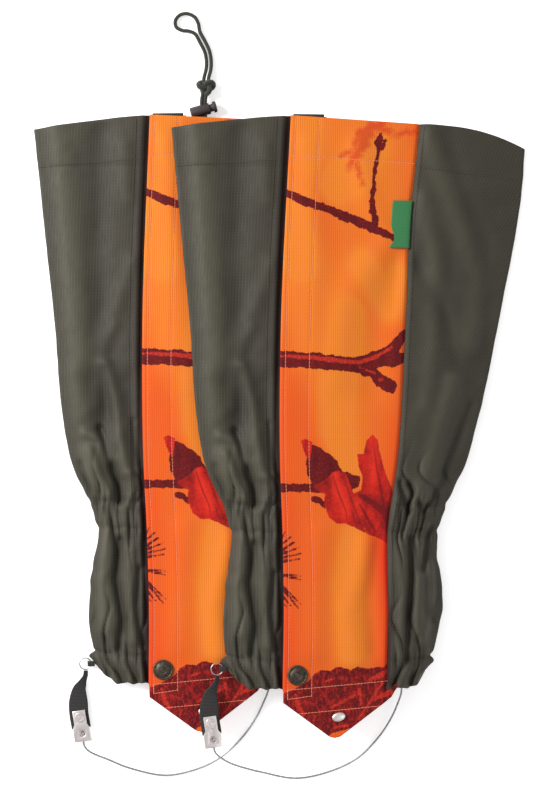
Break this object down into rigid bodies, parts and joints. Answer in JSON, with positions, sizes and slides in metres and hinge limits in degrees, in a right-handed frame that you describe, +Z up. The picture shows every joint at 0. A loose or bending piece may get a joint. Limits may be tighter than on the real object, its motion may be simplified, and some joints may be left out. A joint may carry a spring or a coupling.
{
  "type": "pair of hiking gaiters",
  "caption": "Pair of knee-high cloth gaiters with a peel-open front flap, snap, lace hook, buckled foot strap, steel foot cable, elastics and a drawcord with a cord lock.",
  "frame": {"origin": "the middle of the pair's outline on the ground it lies on, without the free cords and what is on them", "axes": "+Y towards the knee ends, +X from the under gaiter to the upper one, +Z up from the ground"},
  "size_m": [0.3807, 0.6027, 0.0324],
  "materials": {
    "olive_cloth": "coated woven nylon, dark olive",
    "orange_cloth": "ripstop weave, bright orange with a printed woodland pattern",
    "closing_tape": "hook and loop tape",
    "elastic": "ribbed elastic",
    "green_label": "plain woven tab",
    "black_webbing": "coated webbing",
    "cord": "braided cord",
    "lock_plastic": "moulded nylon",
    "aged_bronze": "antique finish",
    "nickel": "nickel plated",
    "steel": "plain steel",
    "steel_cable": "stranded steel cable"
  },
  "bodies": {
    "left_gaiter": {"left_back_panel": "olive_cloth", "left_outer_panel": "olive_cloth", "left_inner_panel": "olive_cloth", "left_front_panel": "orange_cloth", "left_hook_strip": "closing_tape", "left_ankle_elastic": "elastic", "left_hem_elastic": "elastic", "left_drawcord": "cord", "left_cord_tunnel": "olive_cloth", "left_snap_stud": "aged_bronze", "left_snap_post": "aged_bronze", "left_label_tab": "green_label", "left_lace_hook": "nickel", "left_lace_hook_rivet": "nickel", "left_cable_eyelet": "steel", "left_hem_ring": "steel", "left_hem_ring_tab": "black_webbing", "left_foot_cable": "steel_cable", "left_cord_tail": "cord", "left_knot": "cord", "left_cord_loop": "cord"},
    "left_flap": {"left_front_flap": "orange_cloth", "left_loop_strip": "closing_tape", "left_snap_cap": "aged_bronze", "left_snap_socket": "aged_bronze"},
    "left_strap": {"left_foot_strap": "black_webbing", "left_buckle_plate": "nickel", "left_buckle_back": "nickel", "left_buckle_rivet": "nickel", "left_cable_ferrule": "steel"},
    "left_lock": {"left_lock_body": "lock_plastic", "left_lock_spring": "steel"},
    "left_plunger": {"left_lock_plunger": "lock_plastic"},
    "right_gaiter": {"right_back_panel": "olive_cloth", "right_outer_panel": "olive_cloth", "right_inner_panel": "olive_cloth", "right_front_panel": "orange_cloth", "right_hook_strip": "closing_tape", "right_ankle_elastic": "elastic", "right_hem_elastic": "elastic", "right_drawcord": "cord", "right_cord_tunnel": "olive_cloth", "right_snap_stud": "aged_bronze", "right_snap_post": "aged_bronze", "right_label_tab": "green_label", "right_lace_hook": "nickel", "right_lace_hook_rivet": "nickel", "right_cable_eyelet": "steel", "right_hem_ring": "steel", "right_hem_ring_tab": "black_webbing", "right_foot_cable": "steel_cable"},
    "right_flap": {"right_front_flap": "orange_cloth", "right_loop_strip": "closing_tape", "right_snap_cap": "aged_bronze", "right_snap_socket": "aged_bronze"},
    "right_strap": {"right_foot_strap": "black_webbing", "right_buckle_plate": "nickel", "right_buckle_back": "nickel", "right_buckle_rivet": "nickel", "right_cable_ferrule": "steel"}
  },
  "joints": [
    {"name": "right_gaiter_lift", "type": "slide", "parent": "left_gaiter", "child": "right_gaiter", "axis": [0, 0, 1], "range_m": [0, 0.15]},
    {"name": "left_flap_open", "type": "hinge", "parent": "left_gaiter", "child": "left_flap", "pos_m": [-0.08143, 0.01607, 0.0145], "axis": [-0.0127, 0.9999, 0], "range_deg": [0, 80]},
    {"name": "right_flap_open", "type": "hinge", "parent": "right_gaiter", "child": "right_flap", "pos_m": [0.02564, 0.0134, 0.02861], "axis": [0, 1, 0], "range_deg": [0, 130]},
    {"name": "left_strap_swing", "type": "hinge", "parent": "left_gaiter", "child": "left_strap", "pos_m": [-0.15158, -0.18934, 0.0023], "axis": [-0.9999, -0.0127, 0], "range_deg": [0, 60], "deforming": ["left_foot_cable"]},
    {"name": "right_strap_swing", "type": "hinge", "parent": "right_gaiter", "child": "right_strap", "pos_m": [-0.04787, -0.1911, 0.02259], "axis": [-0.9964, 0, 0.0843], "range_deg": [0, 60], "deforming": ["right_foot_cable"]},
    {"name": "left_lock_slide", "type": "slide", "parent": "left_gaiter", "child": "left_lock", "axis": [0, 1, 0], "range_m": [0, 0.004]},
    {"name": "left_lock_press", "type": "slide", "parent": "left_lock", "child": "left_plunger", "axis": [-0.9611, -0.2764, 0], "range_m": [0, 0.0025], "stiffness_N_per_m": 150, "springref_m": -0.001, "deforming": ["left_lock_spring"]}
  ]
}
